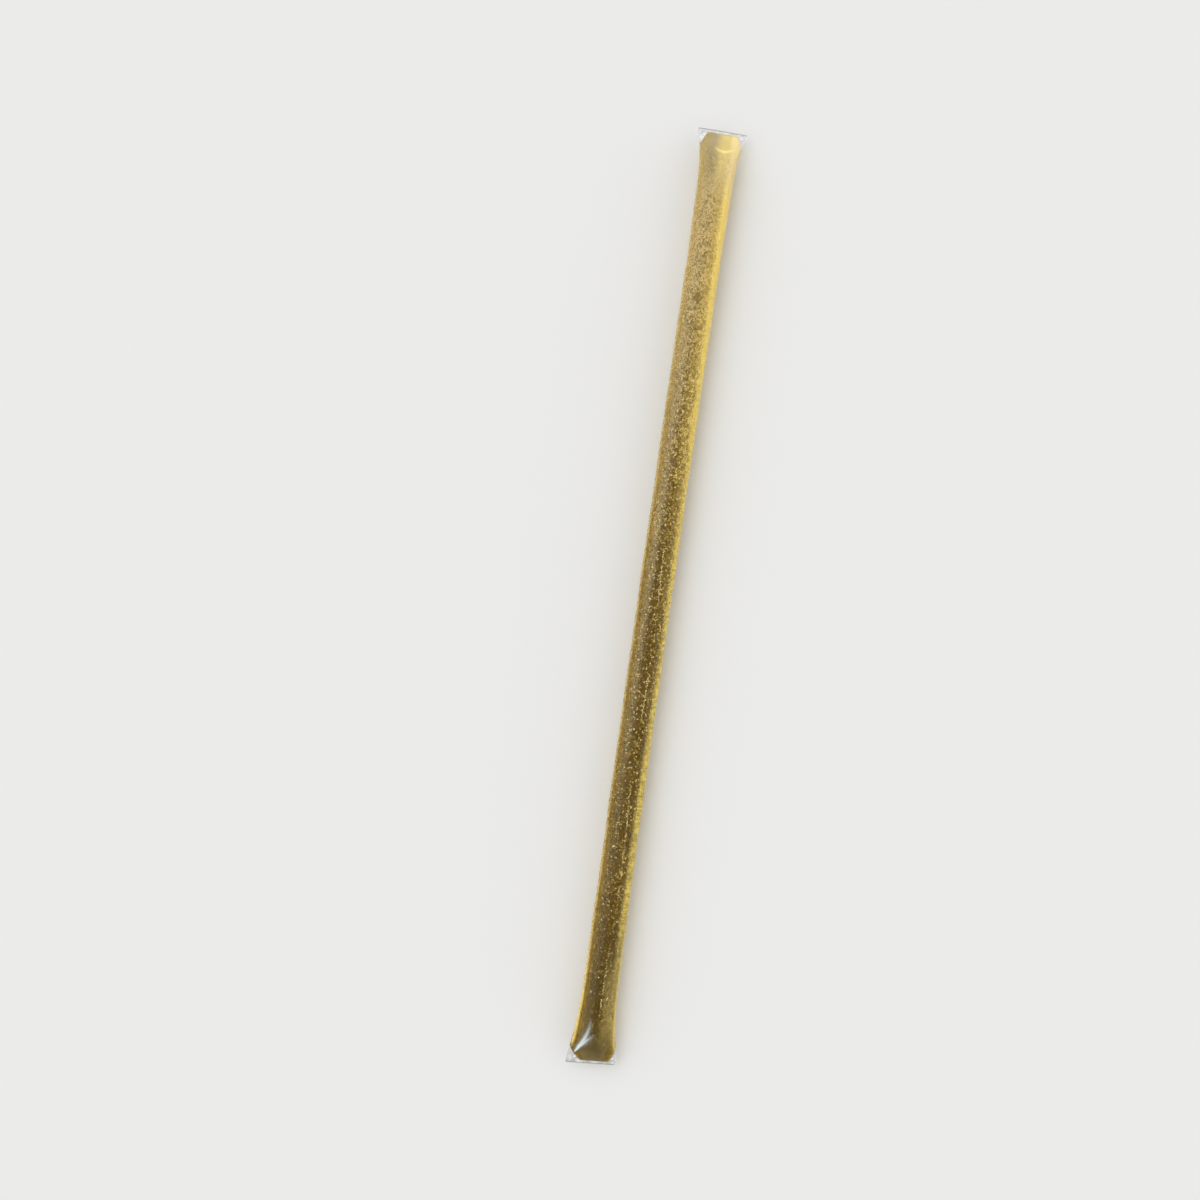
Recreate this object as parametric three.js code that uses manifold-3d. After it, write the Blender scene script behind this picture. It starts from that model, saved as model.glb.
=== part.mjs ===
// A honey stick: a clear plastic straw filled with honey, pressed flat and welded shut at both ends.
// Millimetres, +Z up. The stick lies along X on the flat under its belly, with its head seal at +X.
// The origin is on the floor, under the middle of the stick.

import * as THREE from "three";
import { mergeVertices } from "three/addons/utils/BufferGeometryUtils.js";
import Module from "manifold-3d";

// Driving dimensions

const LENGTH = 178;
const STRAW_DIAMETER = 6; // of the straw while it was still round
const WALL = 0.2;
const TUBE_WIDTH = 6.36; // across the filled tube, which lies a little flattened
const SIDE_BOW = 0.34; // how far the middle stands to +Y of the line between the seals
const LIP = 0.45; // length of the welded lip at each end
const LIP_THICKNESS = 0.36;
const RISE = 7; // from the lip to where the film has risen to its full height
const RISE_POWER = 1.5; // 1 is a straight wedge, and more is steeper at the lip
const WELD_LINE = 0.05; // gap between the two films in the lip
const WELD_POWER = 1.4; // how the corners' welds end: 1 is a straight cut, and more curves into the side
const HONEY_GAP = 0.06; // between the honey and the film
const HONEY_START = 1; // from the end of the stick to its first honey

// The two ends; left is the +Y side and right the -Y side. side: the way along X that the end points.
// reach: distance from the end at which half of the flare is gone. power: how sharply it goes.
// slant: how much shorter the right corner is cut. corner: radius of the lip's corners.
// weld: width and length of the bare film, welded together, in the corners.
const HEAD = {
  side: 1,
  reach: 3.3,
  power: 1.7,
  slant: 0.24,
  corner: { left: 0.1, right: 0.25 },
  weld: { left: 1.9, right: 1.6, length: 2.8 },
};
const FOOT = {
  side: -1,
  reach: 5.6,
  power: 1.9,
  slant: 0.7,
  corner: { left: 0.1, right: 0.5 },
  weld: { left: 2.7, right: 1.3, length: 2.7 },
};

// How finely the surfaces are faceted

const FACETS = 32; // round the straw
const FLAT_FACETS = 1; // on each side of the belly's lowest line, pressed flat on the floor
const LIP_PLACES = [0, 0.12, 0.4, 1]; // shares of the lip where its sections are set
const FLARE_SPAN = 24; // stretch at each end with sections set close together
const FLARE_STEPS = 12;
const TUBE_STEPS = 8;
const OVERRUN = 1; // how far the cut for the inside runs past each end

// Worked out from these

const GIRTH = Math.PI * STRAW_DIAMETER;
const SEAL_WIDTH = GIRTH / 2;
const FLAT_ANGLE = (2 * Math.PI * FLAT_FACETS) / FACETS;
const MIDDLE_HALF_HEIGHT = outerSection(0).halfHeight;
const CENTRE_HEIGHT = MIDDLE_HALF_HEIGHT * Math.cos(FLAT_ANGLE);

// Sections across the straw

// A point of a section's outline, from its middle. Angle 0 is the +Y edge and a quarter turn the top.
// Sharpness 1 is an ellipse, and 2 a lens of two shallow arcs that meet at sharp side edges.
function outlinePoint(section, angle) {
  const across = Math.cos(angle);
  const up = Math.sin(angle);
  const halfWidth = across > 0 ? section.halfLeft : section.halfRight;
  return {
    y: halfWidth * across,
    z: section.halfHeight * Math.sign(up) * Math.abs(up) ** section.sharpness,
  };
}

// The length of film in a section's outline.
function girthOf(section) {
  let girth = 0;
  let last = outlinePoint(section, 0);
  for (let i = 1; i <= FACETS; i++) {
    const next = outlinePoint(section, (2 * Math.PI * i) / FACETS);
    girth += Math.hypot(next.y - last.y, next.z - last.z);
    last = next;
  }
  return girth;
}

// The film doesn't stretch, so a section's girth stays that of the round straw, and its height
// follows from its width. The height is found by halving the range that holds it.
function halfHeightOf(halfWidth, sharpness) {
  const section = { halfLeft: halfWidth, halfRight: halfWidth, halfHeight: 0, sharpness };
  let low = 0;
  let high = STRAW_DIAMETER;
  for (let i = 0; i < 40; i++) {
    section.halfHeight = (low + high) / 2;
    if (girthOf(section) < GIRTH) low = section.halfHeight;
    else high = section.halfHeight;
  }
  return low;
}

// The nearer end of a place along X, and how far that place is from it. Past the end it is 0.
function nearerEnd(x) {
  const end = x < 0 ? FOOT : HEAD;
  return { end, distance: Math.max(0, LENGTH / 2 - Math.abs(x)) };
}

// Share of an end's flare that is left: 1 at the end, a half at its reach, and 0 far along the tube.
function flareShare(end, distance) {
  return 1 / (1 + (distance / end.reach) ** end.power);
}

// How much narrower the lip is at a side, where a corner of this radius is rounded off.
function cornerLoss(radius, distance) {
  const short = Math.max(0, radius - distance);
  return radius - Math.sqrt(radius ** 2 - short ** 2);
}

// The outside of the film at a place along X.
function outerSection(x) {
  const { end, distance } = nearerEnd(x);
  const share = flareShare(end, distance);
  const halfWidth = (TUBE_WIDTH + (SEAL_WIDTH - TUBE_WIDTH) * share) / 2;
  const sharpness = 1 + share;
  const rise = THREE.MathUtils.clamp((distance - LIP) / RISE, 0, 1);
  const full = halfHeightOf(halfWidth, sharpness);
  const risen = 1 - (1 - rise) ** RISE_POWER;
  const halfHeight = THREE.MathUtils.lerp(LIP_THICKNESS / 2, full, risen);
  return {
    halfLeft: halfWidth - cornerLoss(end.corner.left, distance),
    halfRight: halfWidth - cornerLoss(end.corner.right, distance),
    halfHeight,
    sharpness,
  };
}

// The same section drawn in by an inset, as the inside of the film or the skin of the honey is.
// In the corners of a seal the two films are welded together, so the inside is narrower there.
function insetSection(x, inset) {
  const outer = outerSection(x);
  if (inset === 0) return outer;
  const { end, distance } = nearerEnd(x);
  const welded = Math.max(0, 1 - Math.max(0, distance - LIP) / end.weld.length) ** WELD_POWER;
  return {
    halfLeft: outer.halfLeft - inset - end.weld.left * welded,
    halfRight: outer.halfRight - inset - end.weld.right * welded,
    halfHeight: Math.max(outer.halfHeight - inset, WELD_LINE / 2),
    sharpness: outer.sharpness,
  };
}

// The stick's line and its cut ends

// Sideways place of the stick's middle line.
function bowAt(x) {
  return SIDE_BOW * Math.max(0, 1 - (2 * x / LENGTH) ** 2);
}

// How far a point is drawn back along X because its end is cut on a slant.
function slantAt(x, y) {
  const { end, distance } = nearerEnd(x);
  const fade = 1 - THREE.MathUtils.smoothstep(distance, 0, 2 * end.reach);
  return -end.side * end.slant * fade * (0.5 - y / SEAL_WIDTH);
}

// Solids

// Places along X where sections are set, from one distance off the foot's end to the same off the head's.
function placesFrom(first) {
  const lip = LIP_PLACES.map((share) => share * LIP);
  const flare = Array.from({ length: FLARE_STEPS }, (_, i) => {
    return LIP + (FLARE_SPAN - LIP) * ((i + 1) / FLARE_STEPS) ** 2;
  });
  const wanted = [...lip, ...flare].filter((distance) => distance > first + HONEY_GAP);
  const foot = [first, ...wanted].map((distance) => distance - LENGTH / 2);
  const tubeStep = (LENGTH - 2 * FLARE_SPAN) / TUBE_STEPS;
  const tube = Array.from({ length: TUBE_STEPS - 1 }, (_, i) => {
    return FLARE_SPAN - LENGTH / 2 + tubeStep * (i + 1);
  });
  const head = foot.map((x) => -x).reverse();
  return [...foot, ...tube, ...head];
}

// A closed solid through the sections at these places: a cylinder whose rings are moved onto them.
// The belly stays above the floor by the inset, which makes the flat that the stick lies on.
function sweptSolid(places, inset) {
  const rings = places.length - 1;
  const solid = new THREE.CylinderGeometry(1, 1, rings, FACETS, rings);
  const position = solid.getAttribute("position");
  for (let i = 0; i < position.count; i++) {
    const x = places[Math.round(position.getY(i) + rings / 2)];
    const isRim = Math.hypot(position.getX(i), position.getZ(i)) > 0.5;
    const angle = Math.atan2(position.getX(i), position.getZ(i));
    const rim = outlinePoint(insetSection(x, inset), angle);
    const y = isRim ? rim.y : 0;
    const z = Math.max(inset, CENTRE_HEIGHT + (isRim ? rim.z : 0));
    position.setXYZ(i, x + slantAt(x, y), y + bowAt(x), z);
  }
  solid.deleteAttribute("normal");
  solid.deleteAttribute("uv");
  return mergeVertices(solid);
}

const wasm = await Module();
wasm.setup();

// A closed geometry as a solid that can be cut.
function cuttable(geometry) {
  return new wasm.Manifold(
    new wasm.Mesh({
      numProp: 3,
      vertProperties: new Float32Array(geometry.getAttribute("position").array),
      triVerts: new Uint32Array(geometry.index.array),
    }),
  );
}

// What is left of one closed geometry once another is cut out of it.
function cutOut(body, tool) {
  const cut = cuttable(body).subtract(cuttable(tool)).getMesh();
  const left = new THREE.BufferGeometry();
  left.setAttribute("position", new THREE.BufferAttribute(cut.vertProperties, cut.numProp));
  left.setIndex(new THREE.BufferAttribute(cut.triVerts, 1));
  left.computeVertexNormals();
  return left;
}

function named(name, geometry, material) {
  const mesh = new THREE.Mesh(geometry, material);
  mesh.name = name;
  return mesh;
}

// The straw: one piece of film, hollow from lip to lip.
function makeStraw() {
  const outside = sweptSolid(placesFrom(0), 0);
  const inside = sweptSolid(placesFrom(-OVERRUN), WALL);
  const film = new THREE.MeshStandardMaterial({
    color: 0xe6e2d6,
    roughness: 0.2,
    metalness: 0,
    transparent: true,
    opacity: 0.35,
  });
  return named("straw", cutOut(outside, inside), film);
}

// The honey: one body that fills the straw up to both welds.
function makeHoney() {
  const body = sweptSolid(placesFrom(HONEY_START), WALL + HONEY_GAP);
  body.computeVertexNormals();
  const golden = new THREE.MeshStandardMaterial({ color: 0xb08a2e, roughness: 0.15, metalness: 0 });
  return named("honey", body, golden);
}

const honeyStick = new THREE.Group();
honeyStick.name = "honey_stick";
honeyStick.add(makeStraw(), makeHoney());

export default honeyStick;
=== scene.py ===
# %% [markdown]
# # A honey stick
#
# A honey stick is a plastic straw filled with honey. Hot jaws press both ends flat and weld them shut.
# The CAD model fixes where everything is and how big it is. This script loads it and then makes the
# surfaces that are seen: the clear film, the honey behind it, and the grains and bubbles in the honey.

import math

import bpy
import numpy as np
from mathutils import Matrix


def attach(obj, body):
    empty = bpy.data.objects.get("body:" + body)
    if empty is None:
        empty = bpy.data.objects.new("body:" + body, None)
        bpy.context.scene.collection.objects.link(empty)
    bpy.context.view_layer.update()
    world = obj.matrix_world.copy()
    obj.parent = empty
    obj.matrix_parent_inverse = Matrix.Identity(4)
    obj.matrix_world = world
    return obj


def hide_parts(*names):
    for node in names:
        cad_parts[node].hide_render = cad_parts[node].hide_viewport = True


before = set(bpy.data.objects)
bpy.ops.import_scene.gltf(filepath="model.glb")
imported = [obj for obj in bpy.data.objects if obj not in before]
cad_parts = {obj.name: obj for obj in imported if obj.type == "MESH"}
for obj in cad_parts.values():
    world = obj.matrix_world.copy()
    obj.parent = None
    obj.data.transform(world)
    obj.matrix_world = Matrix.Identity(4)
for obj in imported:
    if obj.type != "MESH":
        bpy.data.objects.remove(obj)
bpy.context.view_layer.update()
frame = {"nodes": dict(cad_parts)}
print("CAD nodes:", ", ".join(frame["nodes"]))

# %% [markdown]
# ## The sizes
#
# The straw was round before it was filled, and film does not stretch, so the girth of the round straw
# stays the same everywhere. The two ends differ a little, so each has its own set of numbers. Left is
# the +Y side and right the -Y side. All lengths are in millimetres until a mesh is made.

# %% Sizes of the straw
MM = 0.001
LENGTH = 178.0
STRAW_DIAMETER = 6.0  # while it was still round
GIRTH = math.pi * STRAW_DIAMETER
SEAL_WIDTH = GIRTH / 2
TUBE_WIDTH = 6.36  # across the filled tube, which lies a little flattened
WALL = 0.2

# Each end. reach: distance at which half of the flare is gone. power: how sharply it goes. slant: how much
# shorter the right corner is cut. corner: radius of the lip's corners. weld: bare film in the corners.
HEAD = dict(reach=3.3, power=1.7, slant=0.24, corner_left=0.1, corner_right=0.25,
            weld_left=1.9, weld_right=1.6, weld_length=2.8)
FOOT = dict(reach=5.6, power=1.9, slant=0.7, corner_left=0.1, corner_right=0.5,
            weld_left=2.7, weld_right=1.3, weld_length=2.7)


def at_end(x, key):
    """That value of the nearer end, for each place along the stick."""
    return np.where(x < 0, FOOT[key], HEAD[key])


def from_end(x):
    """Distance from the nearer end of the stick."""
    return np.maximum(LENGTH / 2 - np.abs(x), 0)


print("straw", STRAW_DIAMETER, "mm round, seal", round(SEAL_WIDTH, 2), "mm wide")

# %% [markdown]
# ## A section across the straw
#
# Cut across, the tube is an oval, and near a seal it is a lens with two sharp side edges. A cylinder could
# be pressed with a lattice, but one formula covers both: the width follows the cosine of an angle, and the
# height its sine raised to a power that goes from 1 in the tube to 2 in the seal. The height is not free.
# It is the one that uses up the whole girth of film, and halving a range finds it for all sections at once.

# %% The outline of a section
GIRTH_POINTS = 97
HALVINGS = 40


def outline(angle, left, right, height, sharpness):
    """Points of sections: y is the half width times the cosine, z the half height times the sine
    raised to the sharpness with its sign kept."""
    across, up = np.cos(angle), np.sin(angle)
    y = np.where(across > 0, left, right) * across
    z = height * np.sign(up) * np.abs(up) ** sharpness
    return y, z


def full_height(half_widths, sharpness):
    """The half height at which each section's outline is as long as the straw's girth."""
    angle = np.linspace(0, 2 * math.pi, GIRTH_POINTS)
    width, power = half_widths[:, None], sharpness[:, None]
    low, high = np.zeros_like(width), np.full_like(width, STRAW_DIAMETER)
    for _ in range(HALVINGS):
        middle = (low + high) / 2
        y, z = outline(angle, width, width, middle, power)
        short = np.hypot(np.diff(y), np.diff(z)).sum(axis=1, keepdims=True) < GIRTH
        low, high = np.where(short, middle, low), np.where(short, high, middle)
    return low[:, 0]


def flare(x):
    """Share of an end's flare that is left: 1 at the end, a half at its reach, and 0 along the tube."""
    return 1 / (1 + (from_end(x) / at_end(x, "reach")) ** at_end(x, "power"))


def half_width(x):
    """Half the width of the film: that of the tube, plus the flare's share of the way to the seal's."""
    return (TUBE_WIDTH + (SEAL_WIDTH - TUBE_WIDTH) * flare(x)) / 2


TABLE_ROWS = 2001
TABLE_X = np.linspace(-LENGTH / 2, LENGTH / 2, TABLE_ROWS)
TABLE_HEIGHT = full_height(half_width(TABLE_X), 1 + flare(TABLE_X))
print("half height in the tube", round(TABLE_HEIGHT[TABLE_ROWS // 2], 2), "mm")

# %% [markdown]
# ## Pressed and welded ends
#
# The jaws hold the films together in a thin lip, and from there the film rises to its full height in a
# wedge. In the corners of the lip the two films are melted together, so the inside is narrower there than
# the outside. The lip's corners are cut a little round. All this could be sculpted, but here it is given as
# numbers for each section.

# %% Sections along the straw
LIP, LIP_THICKNESS = 0.45, 0.36
RISE, RISE_POWER = 7.0, 1.5  # from the lip to full height; power 1 is a straight wedge
WELD_POWER = 1.4  # 1 ends a weld in a straight cut, and more curves it into the side
THINNEST = 0.02  # half height of the inside where the two films meet
CAD_FACETS = 32  # round the CAD straw, which lies on one of them at each side of its lowest line
FLAT_ANGLE = 2 * math.pi / CAD_FACETS


def corner_loss(x, radius):
    """How much a lip's rounded corner takes off the half width."""
    short = np.clip(radius - from_end(x), 0, None)
    return radius - np.sqrt(radius**2 - short**2)


def side_width(x, side, inset, welded):
    """Half width on one side: the film's, less its rounded corner, the inset and the share welded."""
    edge = half_width(x) - corner_loss(x, at_end(x, "corner_" + side))
    return edge - inset - at_end(x, "weld_" + side) * welded


def sections(x, inset):
    """Half widths, half height and sharpness of the film's outside at x, drawn in by an inset. The height
    rises from the lip's, and the inside is also drawn in by the welds, which shrink away from the lip."""
    past_lip = np.clip(from_end(x) - LIP, 0, None)
    risen = 1 - (1 - np.clip(past_lip / RISE, 0, 1)) ** RISE_POWER
    lip = LIP_THICKNESS / 2
    height = lip + (np.interp(x, TABLE_X, TABLE_HEIGHT) - lip) * risen
    welded = np.clip(1 - past_lip / at_end(x, "weld_length"), 0, 1) ** WELD_POWER * (inset > 0)
    left, right = (side_width(x, side, inset, welded) for side in ("left", "right"))
    return left, right, np.maximum(height - inset, THINNEST), 1 + flare(x)


CENTRE = float(sections(np.zeros(1), 0)[2][0]) * math.cos(FLAT_ANGLE)
print("the middle line is", round(CENTRE, 3), "mm above the floor")

# %% [markdown]
# ## Waves in the film
#
# A straw full of thick honey is never quite even. A bump in the material would only change its shading, and
# real relief also shows in the outline, so four shallow sines are added to the surface itself. Each is
# turned round the stick by its own amount. The seals are pressed flat, so the waves grow from nothing past
# them.

# %% Shallow waves
RNG = np.random.default_rng(7)
WAVE_LENGTHS = np.array([37.0, 23.0, 11.0, 6.1])
WAVE_DEPTHS = np.array([0.05, 0.04, 0.02, 0.008])
WAVE_PHASES = RNG.uniform(0, 2 * math.pi, len(WAVE_LENGTHS))
WAVE_TURNS = RNG.uniform(0, 2 * math.pi, len(WAVE_LENGTHS))
WAVES_START, WAVES_GROW = 3.0, 10.0  # from the end to the first waves, and on to their full depth


def soft_waves(x, angle):
    """Shallow waves: sines along the stick, each times a cosine of twice the angle, turned round it."""
    waves = 0 * x * angle
    for length, depth, phase, turn in zip(WAVE_LENGTHS, WAVE_DEPTHS, WAVE_PHASES, WAVE_TURNS):
        waves = waves + depth * np.sin(2 * math.pi * x / length + phase) * np.cos(2 * angle + turn)
    return waves * np.clip((from_end(x) - WAVES_START) / WAVES_GROW, 0, 1)


print(len(WAVE_LENGTHS), "waves, the deepest", WAVE_DEPTHS.max(), "mm")

# %% [markdown]
# ## Creases at the foot
#
# Where a round tube is pressed flat, spare film has to go somewhere. At the foot it folds into two creases
# that part like a V. They could be modelled edge by edge, but a number for every point is enough: the closer
# the point is to the line of a crease, the larger it is. It lifts the film here, and later a painted
# highlight of the window whitens the film along it.

# %% Two creases
# A crease starts and ends at a distance from the foot's end and a place across the stick.
CREASES = (dict(start=(2.1, 3.25), end=(9.2, 1.1), bend=-0.65, half_width=0.52),
           dict(start=(2.9, 2.8), end=(6.1, -0.25), bend=0.2, half_width=0.54))
CREASE_HEIGHT = 0.05
CREASE_THINNEST = 0.15  # share of its width that a crease keeps at its two ends
CREASE_PEAK = 0.63  # below 1 the widest place moves towards the start
CREASE_FADE = 0.6


def foot_creases(x, y):
    """How much a point lies on a crease: a bell curve of its distance to a bent line. The crease is widest
    at a third of its way, where a sine of a power of the way peaks, and fades along it."""
    away = np.where(x < 0, from_end(x), LENGTH)
    amount = 0 * x * y
    for crease in CREASES:
        (start, start_y), (end, end_y) = crease["start"], crease["end"]
        span, rise = end - start, end_y - start_y
        share = np.clip((away - start) / span, 0, 1)
        aside = y - start_y - share * rise - 4 * crease["bend"] * share * (1 - share)
        off = np.hypot(away - start - share * span, aside * span / math.hypot(span, rise))
        swell = CREASE_THINNEST + (1 - CREASE_THINNEST) * np.sin(math.pi * share**CREASE_PEAK)
        line = np.exp(-(off / (crease["half_width"] * swell)) ** 2) * (1 - share) ** CREASE_FADE
        amount = np.maximum(amount, line)
    return amount


print(len(CREASES), "creases,", CREASE_HEIGHT, "mm high")

# %% [markdown]
# ## A dimple at the head
#
# Below the head's lip the jaws leave a curved dimple, like a smile. It is made in the same way as a crease,
# but the line is an arc of a circle, and it sinks into the film. In the honey under it a yellow highlight is
# painted.

# %% The dimple
# The centre is a distance from the head's end and a place across the stick.
DIMPLE = dict(centre=(1.8, -0.67), radius=2.3, opening=math.radians(56), half_width=0.24)
DIMPLE_DEPTH = 0.04
THINNEST_TIP = 0.0001  # keeps the tips from a width of 0


def head_dimple(x, y):
    """How much a point lies on the dimple: a bell curve of its distance to an arc, thinner at its tips."""
    away = np.where(x > 0, from_end(x), LENGTH)
    along, aside = away - DIMPLE["centre"][0], y - DIMPLE["centre"][1]
    turn = np.arctan2(aside, along) / DIMPLE["opening"]
    taper = np.sqrt(np.clip(1 - turn**2, THINNEST_TIP, 1))
    off = np.hypot(along, aside) - DIMPLE["radius"]
    return np.exp(-(off / (DIMPLE["half_width"] * taper)) ** 2) * taper


print("a dimple of radius", DIMPLE["radius"], "mm,", DIMPLE_DEPTH, "mm deep")

# %% [markdown]
# ## Skins
#
# Every long surface here is the same idea: a section carried along the stick. A skin is a grid of points,
# one row for each place along X and one column for each angle. Places are set close together at the ends,
# where the film bends most. The slight bow, the slanted cuts and the marks are added to the grid.

# %% A skin as a grid of points
SIDE_BOW = 0.34  # how far the middle stands to +Y of the line between the seals
FLARE_SPAN, FLARE_POWER = 30.0, 1.5  # stretch with close rows, and how they crowd towards the lip
LIP_ROWS = 5
CLOSEST_ROWS = 0.02


def on_skin(x, angle, inset):
    """Points at x and angle: the section's outline, with waves and marks, bowed to +Y, cut on a slant at
    the ends and kept above the floor."""
    y, z = outline(angle, *sections(x, inset))
    push = soft_waves(x, angle)
    y, z = y + push * np.cos(angle), z + push * np.sin(angle)
    marks = CREASE_HEIGHT * foot_creases(x, y) - DIMPLE_DEPTH * head_dimple(x, y)
    z = z + marks * (np.sin(angle) > 0)
    fade = np.clip(from_end(x) / (2 * at_end(x, "reach")), 0, 1)
    fade = 1 - fade * fade * (3 - 2 * fade)
    slant = at_end(x, "slant") * np.sign(x) * fade * (0.5 - y / SEAL_WIDTH)
    bow = SIDE_BOW * np.clip(1 - (2 * x / LENGTH) ** 2, 0, None)
    return np.stack(np.broadcast_arrays(x - slant, y + bow, np.maximum(CENTRE + z, inset)), axis=-1)


def places(first, flare_rows, tube_rows):
    """Places along X from a distance off one end to the same off the other, close together at the ends."""
    lip = np.linspace(0, LIP, LIP_ROWS)
    flared = LIP + (FLARE_SPAN - LIP) * np.linspace(0, 1, flare_rows)[1:] ** FLARE_POWER
    away = np.concatenate([lip, flared])
    away = np.concatenate([[first], away[away > first + CLOSEST_ROWS]])
    tube = np.linspace(-LENGTH / 2 + FLARE_SPAN, LENGTH / 2 - FLARE_SPAN, tube_rows)[1:-1]
    return np.concatenate([away - LENGTH / 2, tube, (LENGTH / 2 - away)[::-1]])


def angles(columns):
    """Angles of that many columns round the stick, from the +Y edge over the top."""
    return np.arange(columns) * 2 * math.pi / columns


def skin(x, columns, inset):
    """A grid of points on a skin, one row for each x."""
    return on_skin(x[:, None], angles(columns)[None, :], inset)


middle_top = on_skin(np.zeros(1), np.full(1, math.pi / 2), 0)[0]
print("the top of the tube is", round(float(middle_top[2]), 2), "mm up")

# %% [markdown]
# ## From grid to mesh
#
# A grid turns into quads between neighbouring rows and columns, and two end faces close it. The faces look
# outwards; a skin that bounds a hollow is turned inside out. Materials can read a number that is kept at
# each point, so a helper stores one.

# %% Mesh helpers


def closed_faces(rows, columns, start, inside_out=False):
    """Quads of a closed tube of rows by columns, and its two end faces, as index lists."""
    row, column = np.mgrid[0:rows - 1, 0:columns]
    beside = (column + 1) % columns
    quads = np.stack([row * columns + column, row * columns + beside,
                      (row + 1) * columns + beside, (row + 1) * columns + column], axis=-1).reshape(-1, 4)
    ends = [np.arange(columns)[::-1], (rows - 1) * columns + np.arange(columns)]
    turn = -1 if inside_out else 1
    return (start + quads[:, ::turn]).tolist() + [(start + end[::turn]).tolist() for end in ends]


def make_piece(name, points, faces, smooth=True):
    """A mesh object at the origin from points in millimetres."""
    mesh = bpy.data.meshes.new(name)
    mesh.from_pydata(points.reshape(-1, 3) * MM, [], faces)
    mesh.polygons.foreach_set("use_smooth", np.full(len(mesh.polygons), smooth))
    mesh.update()
    piece = bpy.data.objects.new(name, mesh)
    bpy.context.scene.collection.objects.link(piece)
    return piece


def add_value(piece, name, values):
    """A number for each point of a piece, which its material can read by this name."""
    layer = piece.data.attributes.new(name, "FLOAT", "POINT")
    layer.data.foreach_set("value", np.asarray(values, np.float32).ravel())


print("helpers for meshes are ready")

# %% [markdown]
# ## The film
#
# The film is a real wall. A Solidify modifier could thicken a single skin, but here the inside has a shape
# of its own, because it ends at the welds. So the wall is two skins: an outer one, and an inner one turned
# inside out that bounds the hollow for the honey.

# %% Make the film
OUTER_COLUMNS, INNER_COLUMNS = 128, 72
HOLLOW_START = LIP + 0.1
outer_x = places(0, flare_rows=130, tube_rows=120)
inner_x = places(HOLLOW_START, flare_rows=60, tube_rows=60)
outer, inner = skin(outer_x, OUTER_COLUMNS, 0), skin(inner_x, INNER_COLUMNS, WALL)
film_points = np.concatenate([outer.reshape(-1, 3), inner.reshape(-1, 3)])
film_faces = closed_faces(len(outer_x), OUTER_COLUMNS, 0)
film_faces += closed_faces(len(inner_x), INNER_COLUMNS, outer.size // 3, inside_out=True)
film = make_piece("straw_film", film_points, film_faces)
print(film.name, len(film.data.polygons), "faces")

# %% [markdown]
# ## Milky places in the film
#
# In the lips and in the corners of the seals the two films are melted into one and go milky, with small
# round pockets of air between them. Along the creases a painted highlight of the window whitens the film,
# and the cut rim gets a painted dark line of shade. A painted picture could show all this, but a number at
# each point does as well and needs no picture file.

# %% Mark the film's welds, rim, creases and pockets
RIM = 0.12
WELD_BORDER, WELD_LEAD = 0.3, 0.2  # soft border of a weld, and the share of milk on the honey's outline
WELD_REACH, WELD_FULL = 2.6, 0.6  # full for that share of the reach, and gone one reach further on
# side is 1 for the head and -1 for the foot, and place a distance from that end and a place across.
POCKETS = (dict(side=1, place=(1.0, 3.4), radius=0.4), dict(side=1, place=(0.8, -3.7), radius=0.5),
           dict(side=-1, place=(1.2, 3.2), radius=0.36), dict(side=-1, place=(1.15, -4.0), radius=0.3))
POCKET_BORDER = 0.2


def near_end(x, length):
    """1 within half of that length from the end of the stick, falling to 0 at one and a half lengths."""
    return np.clip(1.5 - from_end(x) / length, 0, 1)


def weld_amount(x, y):
    """1 where the two films are melted together, in the lip and outside the honey's outline, else 0."""
    left, right, _, _ = sections(x, WALL)
    past = np.maximum(y - left, -right - y)
    by_end = np.clip(1 + WELD_FULL - from_end(x) / WELD_REACH, 0, 1)
    corner = np.clip(past / WELD_BORDER + WELD_LEAD, 0, 1) * by_end
    return np.maximum(corner, near_end(x, LIP))


def pocket_amount(x, y):
    """1 inside a small round pocket of air in a weld, falling to 0 over its border."""
    amount = 0 * x * y
    for pocket in POCKETS:
        away = np.where(x * pocket["side"] > 0, from_end(x), LENGTH)
        off = np.hypot(away - pocket["place"][0], y - pocket["place"][1])
        amount = np.maximum(amount, np.clip((pocket["radius"] - off) / POCKET_BORDER + 0.5, 0, 1))
    return amount


film_x, film_y = outer_x[:, None], outer[..., 1]
on_top = np.sin(angles(OUTER_COLUMNS)) > 0
film_marks = {"milky": weld_amount(film_x, film_y),
              "rim": near_end(film_x, RIM) + 0 * film_y,
              "crease": foot_creases(film_x, film_y) * on_top,
              "pocket": pocket_amount(film_x, film_y) * on_top}
for name, values in film_marks.items():
    add_value(film, name, np.concatenate([values.ravel(), 0 * inner[..., 0].ravel()]))
print(film.name, "has", int((film_marks["milky"] > 0.5).sum()), "milky points")

# %% [markdown]
# ## The honey
#
# Behind clear film the honey must not leave an air gap, because light would bend twice at it. Its skin is
# set half way into the wall, so film and honey overlap a little and read as one clear body. Numbers for its
# material are kept: how far across the stick and how far up a point lies, and how much it is under the
# dimple.

# %% Make the honey
HONEY_COLUMNS, HONEY_START = 96, LIP + 0.05
honey_x = places(HONEY_START, flare_rows=100, tube_rows=90)
honey_points = skin(honey_x, HONEY_COLUMNS, WALL / 2)
honey = make_piece("honey_fill", honey_points, closed_faces(len(honey_x), HONEY_COLUMNS, 0))
every_row = np.zeros((len(honey_x), 1))
honey_sines = np.sin(angles(HONEY_COLUMNS))
# Where the dimple's painted highlight goes.
under_dimple = head_dimple(honey_x[:, None], honey_points[..., 1]) * (honey_sines > 0)
add_value(honey, "across", np.cos(angles(HONEY_COLUMNS)) + every_row)
add_value(honey, "up", honey_sines + every_row)
add_value(honey, "dimple", under_dimple)
print(honey.name, len(honey.data.polygons), "faces")

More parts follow.
